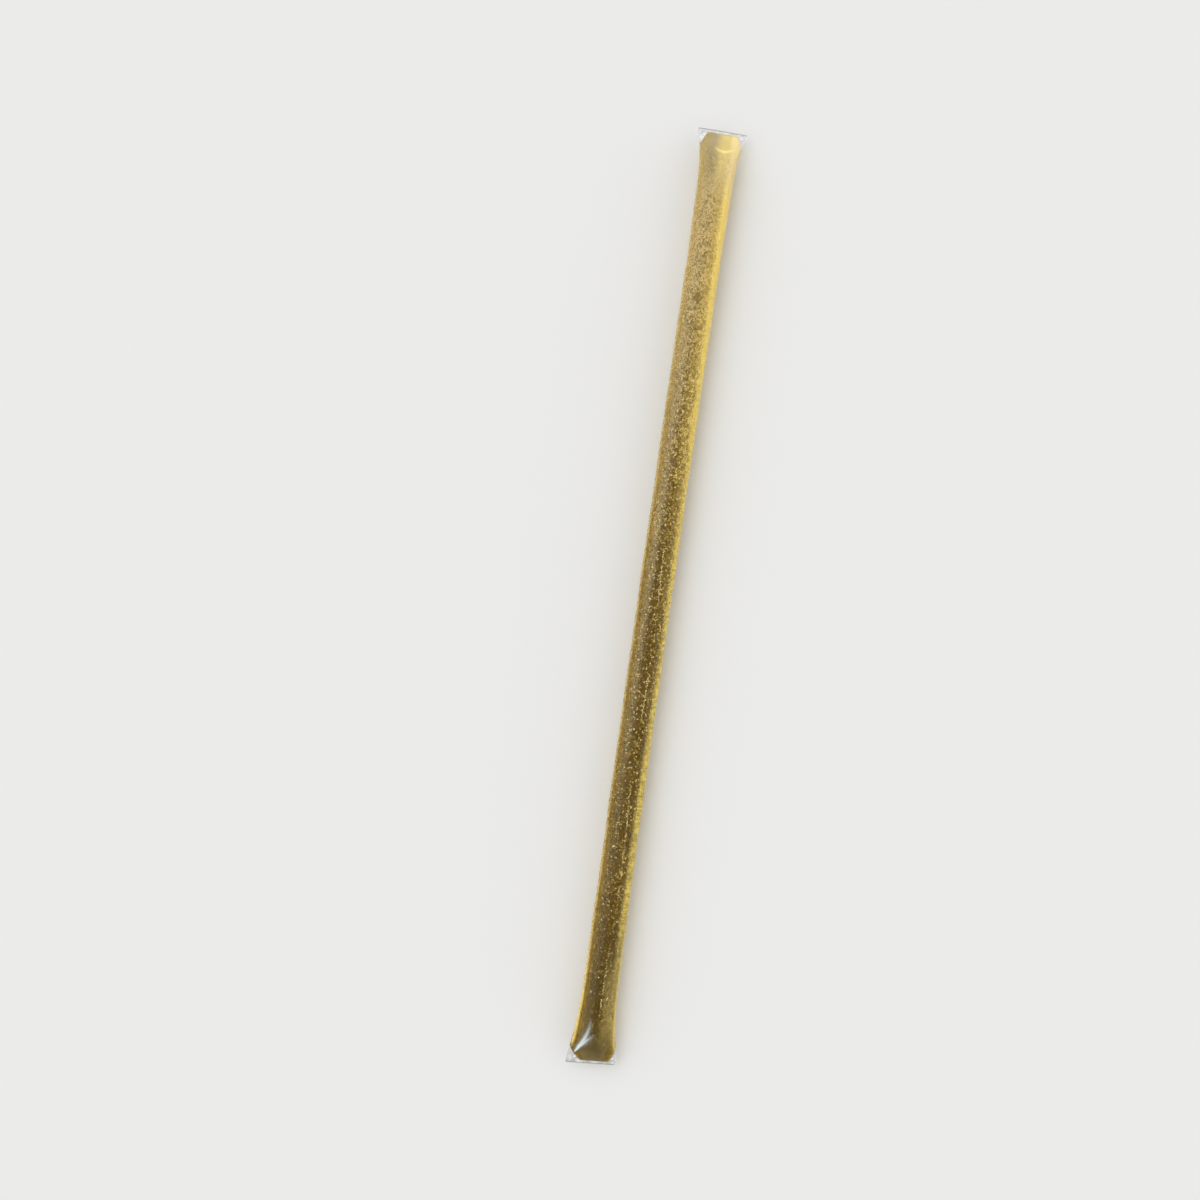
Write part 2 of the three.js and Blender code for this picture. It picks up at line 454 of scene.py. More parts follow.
# %% [markdown]
# ## Grains
#
# Honey sets slowly into fine sugar crystals, and they show where they lie against the film. A particle
# system could scatter them, but an array gives every grain its own turn and size and joins them in one
# mesh. Each one is a small flat octahedron turned at random on the skin: its three half lengths run along
# two directions in the skin and one out of it.

# %% Flat grains on the skin
OCTAHEDRON = np.array([[1, 0, 0], [-1, 0, 0], [0, 1, 0], [0, -1, 0], [0, 0, 1], [0, 0, -1]], float)
OCTAHEDRON_FACES = np.array([[0, 2, 4], [2, 1, 4], [1, 3, 4], [3, 0, 4],
                             [2, 0, 5], [1, 2, 5], [3, 1, 5], [0, 3, 5]])
STEP_ALONG, STEP_ROUND = 0.05, 0.02  # millimetres along the stick, and radians round it


def unit(vectors):
    """Vectors made one long."""
    return vectors / np.linalg.norm(vectors, axis=-1, keepdims=True)


def skin_axes(x, angle, inset):
    """Places on the skin, with directions along it, round it and out of it, from small steps."""
    middle = on_skin(x, angle, inset)
    along = unit(on_skin(x + STEP_ALONG, angle, inset) - middle)
    turned = on_skin(x, angle + STEP_ROUND, inset) - middle
    out = unit(np.cross(along, turned))
    return middle, along, np.cross(out, along), out


def flat_grains(x, angle, inset, long, short, thick):
    """Corners of octahedra that lie on the skin, each spun at random about the way out."""
    middle, along, around, out = skin_axes(x, angle, inset)
    spin = RNG.uniform(0, 2 * math.pi, len(x))[:, None]
    first = along * np.cos(spin) + around * np.sin(spin)
    second = around * np.cos(spin) - along * np.sin(spin)
    axes = np.stack([first * long[:, None], second * short[:, None], out * thick], axis=1)
    return middle[:, None] + np.einsum("vk,nki->nvi", OCTAHEDRON, axes)


print("one grain has", len(OCTAHEDRON_FACES), "faces")

# %% [markdown]
# ## Where the grains lie
#
# Crystals are denser towards the head, and there are none in the seals. A beta distribution gives such a
# slope with two numbers. Every grain also gets a tone, so that a few are bright and most are dull.

# %% Make the grains
GRAINS = 12000
GRAIN_SLOPE = (1.55, 1.06)
GRAIN_SIZES = (0.12, 0.28)  # half lengths
GRAIN_SLIM, GRAIN_THICK = 0.6, 0.05
BARE_FOOT, BARE_HEAD = 3.0, 5.0  # stretches at the ends without grains
MOST_DULL = 1.7  # a power over 1 makes most tones low
grain_x = BARE_FOOT - LENGTH / 2 + (LENGTH - BARE_FOOT - BARE_HEAD) * RNG.beta(*GRAIN_SLOPE, GRAINS)
grain_angle = RNG.uniform(0, 2 * math.pi, GRAINS)
grain_long = RNG.uniform(*GRAIN_SIZES, GRAINS)
grain_points = flat_grains(grain_x, grain_angle, WALL / 2, grain_long, grain_long * GRAIN_SLIM, GRAIN_THICK)
corners = len(OCTAHEDRON)
grain_faces = (OCTAHEDRON_FACES + corners * np.arange(GRAINS)[:, None, None]).reshape(-1, 3)
grains = make_piece("honey_grains", grain_points, grain_faces.tolist(), smooth=False)
add_value(grains, "tone", np.repeat(RNG.uniform(0, 1, GRAINS) ** MOST_DULL, corners))
add_value(grains, "across", np.repeat(np.cos(grain_angle), corners))
add_value(grains, "up", np.repeat(np.sin(grain_angle), corners))
print(grains.name, GRAINS, "crystals,", len(grain_faces), "faces")

# %% [markdown]
# ## A bubble
#
# Air that was stirred in rises and stays under the film. Blender has a ball of its own, but hundreds of
# copies are quicker as one array, so a small ball is worked out once: rings of points between two poles.

# %% One ball
RINGS, SIDES = 4, 8


def ball():
    """A ball of radius 1: rings at even steps of height angle between two poles, and its triangles."""
    height = np.pi * np.arange(1, RINGS + 1) / (RINGS + 1)
    turn = 2 * np.pi * np.arange(SIDES) / SIDES
    ring = np.stack([np.sin(height)[:, None] * np.cos(turn), np.sin(height)[:, None] * np.sin(turn),
                     np.cos(height)[:, None] + 0 * turn], axis=-1).reshape(-1, 3)
    points = np.concatenate([ring, [[0, 0, 1], [0, 0, -1]]])
    row, side = np.mgrid[0:RINGS - 1, 0:SIDES]
    a, b = row * SIDES + side, row * SIDES + (side + 1) % SIDES
    belt = [np.stack([a, a + SIDES, b], -1), np.stack([b, a + SIDES, b + SIDES], -1)]
    first, second = np.arange(SIDES), (np.arange(SIDES) + 1) % SIDES
    last = (RINGS - 1) * SIDES
    top = np.stack([first, second, np.full(SIDES, RINGS * SIDES)], -1)
    bottom = np.stack([last + second, last + first, np.full(SIDES, RINGS * SIDES + 1)], -1)
    return points, np.concatenate([np.concatenate(belt).reshape(-1, 3), top, bottom])


ball_points, ball_faces = ball()
print("one bubble has", len(ball_faces), "faces")

# %% [markdown]
# ## Where the bubbles lie
#
# Some bubbles are single. In the lower half many stand in a broken line, as beads do on a thread, so those
# are drawn in runs with gaps between them. Each bubble presses a little way into the film's wall.

# %% Make the bubbles
RUN = 7
RUN_STEPS = (0.2, 0.45)
LINE_BUBBLES, LINE_FROM, LINE_TO, LINE_Y = 420, -80, 8, -0.7
WANDER, WANDER_LENGTH, SCATTER = 0.25, 7.0, 0.09
LONE_BUBBLES, LONE_SLOPE = 130, (1.0, 1.3)
LONE_BARE = 14  # both ends together, without lone bubbles
LONE_TURN = (0.1, 0.9)  # shares of the half turn over the top
LINE_SIZES, LONE_SIZES = (0.08, 0.16), (0.09, 0.2)
PRESS = 0.14  # how far a bubble presses into the wall


def bubble_line():
    """Bubbles in a broken line: runs of even steps along X from random starts, wandering as a sine."""
    starts = np.sort(RNG.uniform(LINE_FROM, LINE_TO, LINE_BUBBLES // RUN)).repeat(RUN)
    steps = RNG.uniform(*RUN_STEPS, LINE_BUBBLES // RUN).repeat(RUN)
    x = starts + steps * np.tile(np.arange(RUN), LINE_BUBBLES // RUN)
    y = LINE_Y + WANDER * np.sin(x / WANDER_LENGTH) + RNG.normal(0, SCATTER, len(x))
    return x, np.arccos(y / (TUBE_WIDTH / 2))


line_x, line_angle = bubble_line()
lone_x = (RNG.beta(*LONE_SLOPE, LONE_BUBBLES) - 0.5) * (LENGTH - LONE_BARE)
lone_angle = RNG.uniform(*LONE_TURN, LONE_BUBBLES) * math.pi
bubble_x, bubble_angle = np.concatenate([line_x, lone_x]), np.concatenate([line_angle, lone_angle])
bubble_size = np.concatenate([RNG.uniform(*LINE_SIZES, len(line_x)), RNG.uniform(*LONE_SIZES, LONE_BUBBLES)])
bubble_middle, _, _, bubble_out = skin_axes(bubble_x, bubble_angle, WALL)
bubble_middle = bubble_middle - bubble_out * (bubble_size - PRESS)[:, None]
bubble_points = bubble_middle[:, None] + ball_points * bubble_size[:, None, None]
bubble_faces = (ball_faces + len(ball_points) * np.arange(len(bubble_x))[:, None, None]).reshape(-1, 3)
bubbles = make_piece("honey_bubbles", bubble_points, bubble_faces.tolist())
print(bubbles.name, len(bubble_x), "bubbles,", len(bubble_faces), "faces")

# %% [markdown]
# ## Shader maths
#
# A shader is a formula, so it is written as one. This small class wraps an output socket, and adding or
# multiplying two of them makes the node that does it. Colours are written as red, green and blue.

# %% Sockets that can be added and multiplied


def set_socket(socket, value):
    """A fixed value for a socket. A colour also gets its alpha of 1."""
    socket.default_value = (*value, 1) if socket.type == "RGBA" else value


class Value:
    """An output socket of a material's node tree, with arithmetic that makes nodes."""

    def __init__(self, tree, socket):
        self.tree, self.socket = tree, socket

    def node(self, kind, settings=(), output=0, **inputs):
        """Any other node: its type, its settings, then its inputs by name, or as i0 and so on by number."""
        made = self.tree.nodes.new(kind)
        for key, value in dict(settings).items():
            setattr(made, key, value)
        for key, value in inputs.items():
            socket = made.inputs[int(key[1:]) if key[1:].isdigit() else key.replace("_", " ")]
            if isinstance(value, Value):
                self.tree.links.new(value.socket, socket)
            else:
                set_socket(socket, value)
        return Value(self.tree, made.outputs[output])

    def maths(self, operation, first, second):
        return self.node("ShaderNodeMath", {"operation": operation}, i0=first, i1=second)

    def __add__(self, other):
        return self.maths("ADD", self, other)

    def __radd__(self, other):
        return self.maths("ADD", other, self)

    def __sub__(self, other):
        return self.maths("SUBTRACT", self, other)

    def __rsub__(self, other):
        return self.maths("SUBTRACT", other, self)

    def __mul__(self, other):
        return self.maths("MULTIPLY", self, other)

    def __rmul__(self, other):
        return self.maths("MULTIPLY", other, self)

    def __pow__(self, other):
        return self.maths("POWER", self, other)

    def __rpow__(self, other):
        return self.maths("POWER", other, self)

    def most(self, other):
        """The larger of two values."""
        return self.maths("MAXIMUM", self, other)

    def ramp(self, start, end):
        """0 before start, 1 past end, and a smooth step between them."""
        return self.node("ShaderNodeMapRange", {"interpolation_type": "SMOOTHSTEP"}, Value=self,
                         From_Min=start, From_Max=end)

    def tint(self, first, second):
        """The first colour where this value is 0, the second where it is 1, and a mix between."""
        return self.node("ShaderNodeMix", {"data_type": "RGBA"}, output=2, i0=self, i6=first, i7=second)

    def blend(self, first, second):
        """The first shader where this value is 0, the second where it is 1, and a mix between."""
        return self.node("ShaderNodeMixShader", i0=self, i1=first, i2=second)

    def feed(self, node, name):
        """Link this value to an input of a node."""
        self.tree.links.new(self.socket, node.inputs[name])


print("values can be added, multiplied and mixed")

# %% [markdown]
# ## Patterns and materials
#
# A pattern is read at a place on the piece, in Object coordinates, so it stays with the piece wherever that
# goes. A material can also read the numbers that the mesh keeps at its points. The functions below make the
# few patterns that are used, and a new material with its place.

# %% Patterns and materials
MATERIAL_OUTPUT = "Material Output"


def along(at):
    """The X of a place, which runs along the stick, in millimetres from its middle."""
    return at.node("ShaderNodeSeparateXYZ", Vector=at) * (1 / MM)


def kept(at, *names):
    """The numbers that the piece's points keep by these names."""
    return [at.node("ShaderNodeAttribute", {"attribute_name": name}, output=2) for name in names]


def noise(at, per_mm, detail=1.0):
    """Soft noise with so many blobs in a millimetre."""
    return at.node("ShaderNodeTexNoise", Vector=at, Scale=per_mm / MM, Detail=detail)


def cells(at, per_mm):
    """Cells, so many in a millimetre: the distance to a cell's middle, and a random number for each cell."""
    colour = at.node("ShaderNodeTexVoronoi", output="Color", Vector=at, Scale=per_mm / MM)
    distance = Value(at.tree, colour.socket.node.outputs["Distance"])
    return distance, at.node("ShaderNodeSeparateColor", Color=colour)


def new_material(name, **principled):
    """A material whose Principled shader has these values, with that shader and the place on the piece."""
    material = bpy.data.materials.new(name)
    material.use_nodes = True
    tree = material.node_tree
    shader = tree.nodes["Principled BSDF"]
    for key, value in principled.items():
        set_socket(shader.inputs[key.replace("_", " ")], value)
    coords = tree.nodes.new("ShaderNodeTexCoord")
    return material, Value(tree, shader.outputs[0]), Value(tree, coords.outputs["Object"])


print("patterns: noise and cells")

# %% [markdown]
# ## Light through clear things
#
# Light bent by glass reaches a render only by chance, and that looks grainy. So the rays that look for light
# pass straight through the film and the honey, dimmed by a shade, and what is inside is lit. The camera and
# mirrored rays still see the bending surface itself.

# %% Let the room's light in


def finish_clear(material, surface, shade):
    """The surface for what looks at it, and a see-through one with this shade for shadow rays."""
    shadow_ray = surface.node("ShaderNodeLightPath", output="Is Shadow Ray")
    open_way = surface.node("ShaderNodeBsdfTransparent", Color=shade)
    shadow_ray.blend(surface, open_way).feed(material.node_tree.nodes[MATERIAL_OUTPUT], "Surface")


WHITE, BLACK = (1, 1, 1), (0, 0, 0)
CLEAR_IOR = 1.49
print("film and honey bend light by", CLEAR_IOR)

# %% [markdown]
# ## Milk in the film
#
# A weld is patchy, because the jaws do not press evenly, so noise mixes a grey and a white in it. The foot's
# weld is greyer than the head's. Pockets are pale with a grey ring, the rim is a painted dark line of shade,
# and the creases carry a painted highlight with a bright core.

# %% Milky colours of the film
HEAD_GREY, HEAD_WHITE = (0.6, 0.6, 0.62), (0.84, 0.86, 0.89)
FOOT_GREY, FOOT_WHITE = (0.3, 0.29, 0.27), (0.72, 0.74, 0.74)
RIM_SHADE_GREY = (0.22, 0.2, 0.17)
POCKET_RING, POCKET_MIDDLE = (0.4, 0.37, 0.38), (0.84, 0.84, 0.9)
CREASE_SHEEN_SIDE, CREASE_GLINT_CORE = (0.42, 0.47, 0.49), (0.86, 0.96, 1.0)
FILM_SHINE = (0.27, 0.27, 0.27)
PATCHES_PER_MM = 0.7

film_material, clear_film, at = new_material(
    "clear film", Base_Color=WHITE, Roughness=0.04, IOR=CLEAR_IOR, Transmission_Weight=1.0,
    Specular_Tint=FILM_SHINE)
milky, rim, crease, pocket = kept(at, "milky", "rim", "crease", "pocket")
foot = along(at).ramp(10, -10)
patches = noise(at, PATCHES_PER_MM).ramp(0.3, 0.7)
milk = patches.tint(foot.tint(HEAD_GREY, FOOT_GREY), foot.tint(HEAD_WHITE, FOOT_WHITE))
# The cut rim gets a painted dark line of shade.
milk = rim.tint(milk, RIM_SHADE_GREY)
milk = pocket.ramp(0.0, 0.5).tint(milk, pocket.ramp(0.4, 0.9).tint(POCKET_RING, POCKET_MIDDLE))
# Along the creases a painted highlight of the window, with a bright core.
milk = crease.ramp(0.0, 0.3).tint(milk, crease.ramp(0.2, 0.75).tint(CREASE_SHEEN_SIDE, CREASE_GLINT_CORE))
milky_film = at.node("ShaderNodeBsdfPrincipled", Base_Color=milk, Roughness=0.35)
print("milky film is coloured by", len(at.tree.nodes), "nodes")

# %% [markdown]
# ## Clear film
#
# The film is a clear plastic that bends light as honey does, so the honey behind it seems to touch it. The
# marks say how much of the milky film is mixed in, and between them it stays clear.

# %% Film material
milk_share = milky * (0.6 - 0.15 * foot + 0.25 * patches)
# The creases' painted highlight is mixed in almost fully.
milk_share = milk_share.most(0.95 * crease + 0.6 * pocket)
finish_clear(film_material, milk_share.blend(clear_film, milky_film), WHITE)
film.data.materials.append(film_material)
print(film_material.name, "has", len(film_material.node_tree.nodes), "nodes")

# %% [markdown]
# ## Zones along the honey
#
# The honey's crystals make a haze over it, thick at the head and thin at the foot, where the honey is clear.
# Its paleness at the head and its darkness at the foot are partly that haze and partly painted light and
# shade. One colour ramp along X could hold it all, but the zones overlap and each changes several things at
# once. So every zone is a value of its own that goes from 0 to 1.

# %% Honey zones along the stick
# Where each zone starts and where it is full, along X.
ALONG_ZONES = dict(head=(-10, 80), tip=(74, 83), last=(82, 86.5), low=(-55, -75),
                   lower=(-66, -80), toe=(-78, -88.5), weld=(-84.2, -86.2))

honey_material, haze, at = new_material("hazy honey", Roughness=0.6, Specular_IOR_Level=0.0)
across, up, dimple = kept(at, "across", "up", "dimple")
place = along(at)
head, tip, last, low, lower, toe, weld = (place.ramp(*limits) for limits in ALONG_ZONES.values())
middle = place.ramp(-50, 0) * place.ramp(70, 40)
print(len(ALONG_ZONES) + 1, "zones along the honey")

# %% [markdown]
# ## Sand in the honey
#
# Most crystals are far too small for meshes of their own. Seen closely they are a sand of light flecks and
# dark pits, which cells with a random number each give. Slow clouds gather the flecks in drifts. Noise
# that is drawn out across the stick gives the fine ticks that cut up the bright band at its side.

# %% Flecks, pits and ticks
CLOUDS_PER_MM, SAND_PER_MM, DOTS_PER_MM, TICKS_PER_MM = 0.3, 3.0, 1.7, 2.4
DRAWN_OUT = (1.0, 0.25, 0.25)

clouds = noise(at, CLOUDS_PER_MM, detail=2.0)
drift = clouds - 0.5
_, sand = cells(at, SAND_PER_MM)
dot_distance, dot_chance = cells(at, DOTS_PER_MM)
grit = (sand + 0.7 * drift - 0.72 + 0.65 * head).ramp(0.0, 0.7)
dots = dot_distance.ramp(0.36, 0.2) * (dot_chance + 0.6 * drift).ramp(0.5, 0.8) * (1 - head)
flecks = grit.most(dots) * (1 - 0.75 * tip) * (1 - 0.9 * lower)
pits = (sand + 0.3 * drift).ramp(0.35, 0.05) * (1 - 0.7 * tip) * (1 - 0.7 * toe)
thread = at.node("ShaderNodeVectorMath", {"operation": "MULTIPLY"}, i0=at, i1=DRAWN_OUT)
ticks = noise(thread, TICKS_PER_MM).ramp(0.42, 0.58)
print("sand of", SAND_PER_MM, "cells in a millimetre")

# %% [markdown]
# ## Bright zones at the right
#
# The round stick gathers light like a lens, so the side that is turned away from the window glows gold, with
# a yellow band along it. A render finds such light slowly, so this glow is painted where it falls, also at
# the tip and the toe. Across is 1 at the left edge and -1 at the right, and a little noise makes the borders
# ragged.

# %% Honey zones at the right
RAGGED_PER_MM, RAGGED = 1.5, 0.2
BAND_FROM, BAND_FULL = 0.5, 0.82  # shares of the way from the middle to the right edge

rightward = RAGGED * (noise(at, RAGGED_PER_MM) - 0.5) - across
from_above = up.ramp(-0.35, 0.2)
# Painted light: gold on the side away from the window, and at the tip and the toe.
lit_gold = rightward.ramp(-0.1, 0.6) * place.ramp(-30, 40)
lit_tip_gold = rightward.ramp(-0.4, 0.2) * tip
lit_toe_gold = rightward.ramp(0.1, 0.4) * place.ramp(-66, -75) * place.ramp(-87, -81)
band = (rightward + 0.1 * head - 0.13 * middle - 0.3 * toe).ramp(BAND_FROM, BAND_FULL) * (1 - 0.65 * low)
band = band * (1 - 0.5 * ticks * (1 - head) * up.ramp(0.0, 0.3)) * from_above * (0.85 + 0.25 * sand)
dotted = lit_gold * middle
print("the band starts", BAND_FROM, "of the way to the right edge")

# %% [markdown]
# ## Zones at the left and in the middle
#
# Towards the window the edge is painted as a thin line of light, with a smooth amber stripe of painted light
# beside it and then a painted reflection of the sky, a grey sheen. Between that sheen and the gold the honey
# is at its deepest and is painted with a brown shade. At the foot a painted glow runs as a hem along both
# sides.

# %% Honey zones at the left and in the middle
shown_side = up.ramp(-0.35, 0.1)
# Painted shade in the middle of the tube, where the honey is deepest.
deep_shade = across.ramp(0.3, 0.0) * across.ramp(-0.4, -0.1) * middle
# A painted reflection of the sky: a grey sheen left of the middle, strongest midway along.
painted_sheen = across.ramp(0.15, 0.4) * across.ramp(0.8, 0.6) * (0.08 + 0.75 * middle)
# Painted light through the thin honey at both sides.
lit_sides = across.most(rightward).ramp(0.5, 0.8)
# A smooth stripe of painted light beside the left edge, fading towards the head.
smooth = across.ramp(0.58, 0.75) * (1 - head)
# A thin line of painted light along the edge towards the window.
edge = across.ramp(0.84, 0.95) * shown_side * (0.7 + 0.4 * sand) * (1 - weld) * (1 - last)
# A painted glow along both sides at the foot.
hem_glow = (0.75 * across.ramp(0.83, 0.94)).most(across.ramp(-0.88, -0.97)) * low * shown_side * (1 - weld)
print("zones at the left: edge, smooth, veil and valley")

# %% [markdown]
# ## Paint the haze
#
# The zones are painted over one another like glazes, the widest first. Most finishes have one colour for the
# foot and one for the head, because the haze is paler on the way up, partly from its crystals and partly as
# painted light and shade.

# %% The haze's ground, sand and stripes
FOOT_OLIVE, HEAD_TAN = (0.05, 0.029, 0.003), (0.3, 0.215, 0.068)
NECK_OLIVE, TIP_PALE = (0.27, 0.225, 0.105), (0.37, 0.32, 0.2)
TOE_DARK, TOE_BROWN, DEEP_SHADE_BROWN = (0.09, 0.062, 0.018), (0.19, 0.145, 0.06), (0.13, 0.08, 0.012)
FOOT_FLECK, HEAD_FLECK = (0.5, 0.36, 0.11), (0.64, 0.49, 0.22)
SKY_SHEEN_GREY = (0.42, 0.32, 0.15)
FOOT_LIT_AMBER, HEAD_LIT_AMBER = (0.3, 0.18, 0.02), (0.58, 0.42, 0.125)
FOOT_LIT_EDGE, HEAD_LIT_EDGE = (0.85, 0.65, 0.19), (0.72, 0.55, 0.19)

fleck_colour = head.tint(FOOT_FLECK, HEAD_FLECK)
# Paler at the head and darker at the foot and toe: partly the crystals' haze, partly painted light and
# shade.
hazy = tip.tint(head.tint(FOOT_OLIVE, HEAD_TAN), last.tint(NECK_OLIVE, TIP_PALE))
hazy = toe.tint(hazy, clouds.ramp(0.3, 0.7).tint(TOE_DARK, TOE_BROWN))
# Painted shade in the deepest honey.
hazy = (0.35 * deep_shade).tint(hazy, DEEP_SHADE_BROWN)
hazy = flecks.tint(hazy, fleck_colour)
# The painted sheen of the sky.
hazy = painted_sheen.tint(hazy, SKY_SHEEN_GREY)
# The amber of painted light at the sides.
hazy = (0.5 * lit_sides + 0.2 * smooth).tint(hazy, head.tint(FOOT_LIT_AMBER, HEAD_LIT_AMBER))
# The painted line of light at the edge.
hazy = (0.8 * edge).tint(hazy, head.tint(FOOT_LIT_EDGE, HEAD_LIT_EDGE))
print("the haze goes from", FOOT_OLIVE, "at the foot to", HEAD_TAN, "at the head")

# %% [markdown]
# ## Paint the glow
#
# The painted gold light comes next, and then the sand again, because crystals in the light stand out more
# than those in the shade. The painted glow of the band and the hem, and the dimple's painted highlight, go
# on last, so that nothing dulls them.

# %% The haze's gold, band and hem
MID_GOLD, HEAD_GOLD, TIP_GOLD = (0.34, 0.22, 0.03), (0.7, 0.51, 0.12), (0.76, 0.63, 0.28)
TOE_GOLD, GOLD_FLECK, GOLD_PIT = (0.42, 0.31, 0.09), (1.0, 0.8, 0.27), (0.13, 0.08, 0.01)
FOOT_PIT, HEAD_PIT = (0.03, 0.018, 0.002), (0.16, 0.115, 0.035)
FOOT_YELLOW, HEAD_YELLOW, TIP_YELLOW = (1.0, 0.79, 0.16), (1.0, 0.79, 0.23), (0.9, 0.75, 0.4)
HEM_GLOW_YELLOW, DIMPLE_HIGHLIGHT_YELLOW = (0.95, 0.75, 0.25), (1.0, 0.88, 0.36)

# Painted gold light at the side away from the window, the tip and the toe.
hazy = (0.7 * lit_gold).tint(hazy, head.tint(MID_GOLD, HEAD_GOLD))
hazy = lit_tip_gold.tint(hazy, TIP_GOLD)
hazy = (0.6 * lit_toe_gold).tint(hazy, TOE_GOLD)
pit_share = (0.6 + 0.2 * dotted) * pits * (1 - 0.6 * head)
hazy = pit_share.tint(hazy, dotted.tint(head.tint(FOOT_PIT, HEAD_PIT), GOLD_PIT))
fleck_share = (0.35 + 0.45 * dotted - 0.3 * smooth) * flecks
hazy = fleck_share.tint(hazy, dotted.tint(fleck_colour, GOLD_FLECK))
hazy = (0.95 * band).tint(hazy, tip.tint(head.tint(FOOT_YELLOW, HEAD_YELLOW), TIP_YELLOW))
# The hem's painted glow.
hazy = (0.8 * hem_glow).tint(hazy, HEM_GLOW_YELLOW)
# A painted yellow highlight along the dimple.
hazy = dimple.tint(hazy, DIMPLE_HIGHLIGHT_YELLOW)
hazy.feed(haze.socket.node, "Base Color")
print("the haze is painted by", len(at.tree.nodes), "nodes")

# %% [markdown]
# ## Clear honey behind the haze
#
# Honey swallows blue light first, so a thick layer is amber and a thin one pale. That is what a volume that
# absorbs does: its colour comes from the depth of honey that light has passed. A tinted glass would be one
# colour through and through. The haze covers more of the clear honey where crystals are dense, and also
# where light and shade are painted on it.

# %% Honey material
HONEY_ABSORBS = np.array([95.0, 150.0, 420.0])  # of red, green and blue, for each metre
DENSER = 1.02  # the density is a little over the largest of them, so none of the volume's colour is 0
HONEY_SHADE = (0.9, 0.9, 0.9)

clear_honey = at.node("ShaderNodeBsdfPrincipled", Base_Color=WHITE, Roughness=0.28, IOR=CLEAR_IOR,
                      Transmission_Weight=1.0, Specular_Tint=BLACK)
# The haze's share also rises where light and shade are painted on it.
share = 0.3 + 0.3 * head + 0.1 * tip + 0.4 * toe + 0.2 * low
share = share + 0.3 * flecks + 0.2 * lit_sides + 0.3 * edge + 0.3 * hem_glow
share = share + 0.15 * lit_gold + 0.2 * lit_toe_gold + 0.4 * band + 0.2 * dimple
density = float(HONEY_ABSORBS.max()) * DENSER
absorb = at.node("ShaderNodeVolumeAbsorption", Color=tuple(1 - HONEY_ABSORBS / density), Density=density)
absorb.feed(honey_material.node_tree.nodes[MATERIAL_OUTPUT], "Volume")
finish_clear(honey_material, share.blend(clear_honey, haze), HONEY_SHADE)
honey.data.materials.append(honey_material)
print("honey absorbs", HONEY_ABSORBS, "per metre of red, green and blue")

# %% [markdown]
# ## Grains
#
# A crystal is pale and scatters light, and no two are quite alike, so its tone mixes a dull and a pale
# colour. Towards the head the crystals are paler and at the foot browner, partly as painted light and shade.
# A crystal is also lit through the honey behind it. Where the honey's painted glow lies, at the sides, on
# the right and in the band, the crystal takes its colour, or it would stand out as a dark speck.

# %% Grain material
FOOT_DULL, MID_DULL, HEAD_DULL = (0.07, 0.044, 0.007), (0.13, 0.085, 0.015), (0.31, 0.225, 0.075)
FOOT_PALE, MID_PALE, HEAD_PALE = (0.6, 0.45, 0.15), (0.95, 0.75, 0.33), (0.72, 0.57, 0.27)
RIGHT_PALE, RIGHT_GOLD = (0.95, 0.71, 0.19), (0.74, 0.56, 0.16)
LOW_BROWN, NEAR_GOLD = (0.26, 0.19, 0.06), (0.72, 0.59, 0.27)
LOW_AMBER, HEM_GLOW_AMBER = (0.3, 0.21, 0.06), (0.66, 0.5, 0.16)
MID_AMBER, UPPER_AMBER = (0.4, 0.28, 0.07), (0.56, 0.42, 0.15)
BAND_YELLOW, NEAR_YELLOW = (0.95, 0.75, 0.2), (0.92, 0.77, 0.4)


def grain_colour(at):
    """Dull to pale by tone, and browner at the foot, partly as painted shade. At the sides, on the right and
    in the band the grains take the painted glow's amber, gold and yellow. Near is the stretch by the head's
    seal, and aside how far a grain lies to either side."""
    tone, across, up = kept(at, "tone", "across", "up")
    place = along(at)
    low, midway = place.ramp(-55, -72), place.ramp(-80, 0)
    upper, near = place.ramp(0, 75), place.ramp(66, 82)
    # Paler towards the head, partly as the crystals and partly as painted light and shade.
    dull = upper.tint(midway.tint(FOOT_DULL, MID_DULL), HEAD_DULL)
    pale = upper.tint(midway.tint(FOOT_PALE, MID_PALE), HEAD_PALE)
    # Painted light: on the right the grains take the gold of the glow there.
    pale = (across.ramp(0.1, -0.4) * (1 - near)).tint(pale, RIGHT_PALE)
    crystal = (tone * (1 - near) + 0.6 * near).tint(dull, pale)
    crystal = (across.ramp(0.0, -0.6) * (0.1 * midway + 0.2 * upper)).tint(crystal, RIGHT_GOLD)
    # Browner at the foot, partly as painted shade.
    crystal = (0.6 * low).tint(crystal, LOW_BROWN)
    # Near the head's seal, on the right, the painted gold of the tip.
    crystal = (0.75 * near * across.ramp(0.3, -0.1)).tint(crystal, NEAR_GOLD)
    # At the sides the grains take the amber of the painted glow.
    aside = across.most(0 - across)
    side_glow = low.tint(upper.tint(MID_AMBER, UPPER_AMBER), aside.ramp(0.8, 0.93).tint(LOW_AMBER, HEM_GLOW_AMBER))
    sideways = aside.ramp(0.6, 0.9) * (0.8 - 0.5 * up.ramp(0.2, 0.6))
    sideways = sideways.most(across.ramp(0.55, 0.75) * (0.75 - 0.45 * upper))
    crystal = sideways.tint(crystal, side_glow)
    # In the band they take its painted yellow.
    in_band = across.ramp(-0.55, -0.8) * up.ramp(-0.35, 0.2) * (0.25 + 0.75 * midway)
    return in_band.tint(crystal, near.tint(BAND_YELLOW, NEAR_YELLOW))


grain_material, grain_surface, at = new_material("honey grains", Roughness=0.5, Specular_IOR_Level=0.0)
grain_colour(at).feed(grain_surface.socket.node, "Base Color")
grains.data.materials.append(grain_material)
print(grain_material.name, "has", len(grain_material.node_tree.nodes), "nodes")

